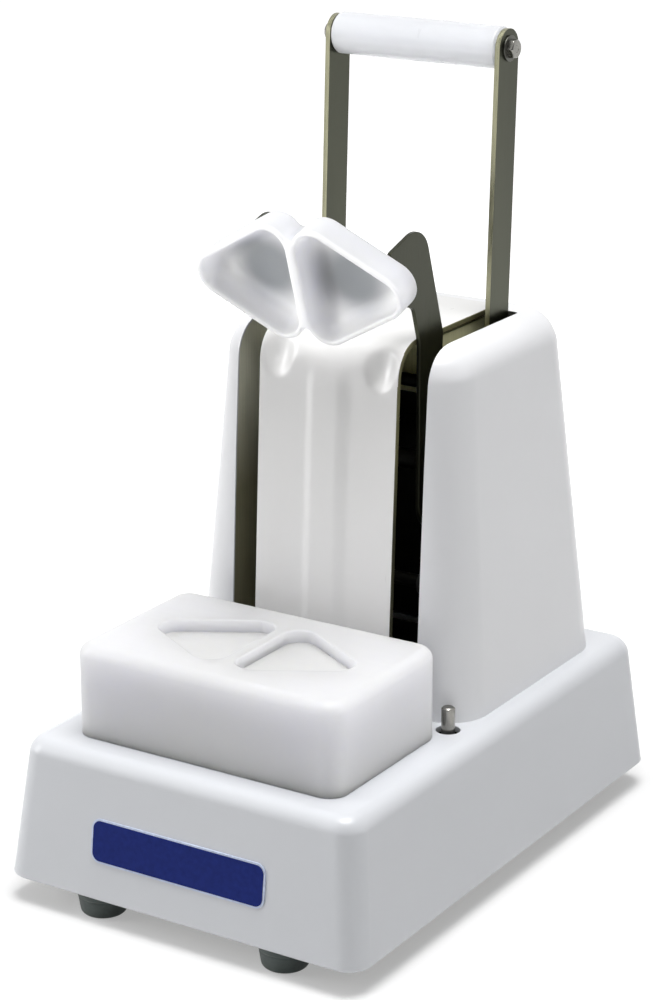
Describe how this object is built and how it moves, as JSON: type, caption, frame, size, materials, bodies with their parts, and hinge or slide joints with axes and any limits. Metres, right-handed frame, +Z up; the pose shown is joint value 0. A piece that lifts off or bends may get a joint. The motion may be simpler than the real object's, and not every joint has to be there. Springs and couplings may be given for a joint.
{
  "type": "hand-lever rice mold press",
  "caption": "Tabletop lever press with a white base and tower, a lower mold block with triangular cups, and a steel lever that swings a two-cup upper mold down onto it.",
  "frame": {"origin": "centre of the bounding box's bottom face, on the ground under the base", "axes": "+X to the operator's right, -Y to the front where the operator stands, +Z up"},
  "size_m": [0.2394, 0.3474, 0.4824],
  "materials": {
    "housing_white": "smooth moulded gloss",
    "cover_white": "smooth moulded gloss",
    "mold_white": "milky, slightly translucent satin",
    "grip_white": "smooth turned satin",
    "foot_rubber": "matt dark grey-green",
    "plate_steel": "lengthwise brushed",
    "fitting_steel": "turned bright",
    "inner_steel": "cold-rolled",
    "spring_steel": "drawn wire",
    "bush_bronze": "sintered bronze",
    "washer_nylon": "natural nylon",
    "sleeve_rubber": "matt black",
    "badge_rim_pale": "smooth",
    "badge_navy": "smooth enamel"
  },
  "bodies": {
    "base": {"base_housing": "housing_white", "bottom_plate": "inner_steel", "chassis_plate": "inner_steel", "chassis_standoffs": "fitting_steel", "bottom_screws": "fitting_steel", "chassis_screws": "fitting_steel", "foot_front_left": "foot_rubber", "foot_front_right": "foot_rubber", "foot_rear_left": "foot_rubber", "foot_rear_right": "foot_rubber", "foot_screws": "fitting_steel", "badge_rim": "badge_rim_pale", "badge_field": "badge_navy", "lower_mold_block": "mold_white", "block_dowels": "fitting_steel", "guide_bushes": "bush_bronze", "tower_cover": "cover_white", "centre_cover": "cover_white", "cover_standoffs": "fitting_steel", "cover_screws": "fitting_steel", "frame_plate_left": "plate_steel", "frame_plate_right": "plate_steel", "rear_web": "inner_steel", "top_bridge": "plate_steel", "stop_rods": "fitting_steel", "stop_sleeves": "sleeve_rubber", "pivot_bush_left": "bush_bronze", "pivot_bush_right": "bush_bronze", "return_spring_left": "spring_steel", "return_spring_right": "spring_steel", "release_guide": "bush_bronze", "release_spring": "spring_steel"},
    "lever": {"mold_arm_left": "plate_steel", "mold_arm_right": "plate_steel", "handle_arm_left": "plate_steel", "handle_arm_right": "plate_steel", "arm_spacers": "fitting_steel", "arm_bolts": "fitting_steel", "crank_pins": "fitting_steel", "spring_pegs": "fitting_steel", "pivot_shaft": "fitting_steel", "retaining_rings": "spring_steel", "thrust_washers": "washer_nylon", "grip": "grip_white", "grip_bolts": "fitting_steel", "grip_washers": "fitting_steel", "mold_carrier": "plate_steel", "mold_screws": "fitting_steel", "upper_mold": "mold_white"},
    "ejector": {"ejector_plate_left": "mold_white", "ejector_plate_right": "mold_white", "ejector_posts": "fitting_steel", "lift_frame": "inner_steel", "yoke_left": "inner_steel", "yoke_right": "inner_steel", "lift_screws": "fitting_steel"},
    "release": {"release_pin": "fitting_steel", "latch_bar": "inner_steel", "latch_peg": "fitting_steel"}
  },
  "joints": [
    {"name": "lever_pivot", "type": "hinge", "parent": "base", "child": "lever", "pos_m": [0, 0.067, 0.223], "axis": [1, 0, 0], "range_deg": [0, 72], "stiffness_Nm_per_rad": 0.8, "springref_deg": -40.11, "deforming": ["return_spring_left", "return_spring_right"]},
    {"name": "ejector_slide", "type": "slide", "parent": "base", "child": "ejector", "axis": [0, 0, 1], "range_m": [-0.015, 0]},
    {"name": "release_slide", "type": "slide", "parent": "base", "child": "release", "axis": [0, 0, -1], "range_m": [0, 0.008], "stiffness_N_per_m": 400, "springref_m": -0.005, "deforming": ["release_spring"]}
  ],
  "couplings": [
    {"joint": "ejector_slide", "follows": "lever_pivot", "m_per_rad": -0.011937}
  ]
}
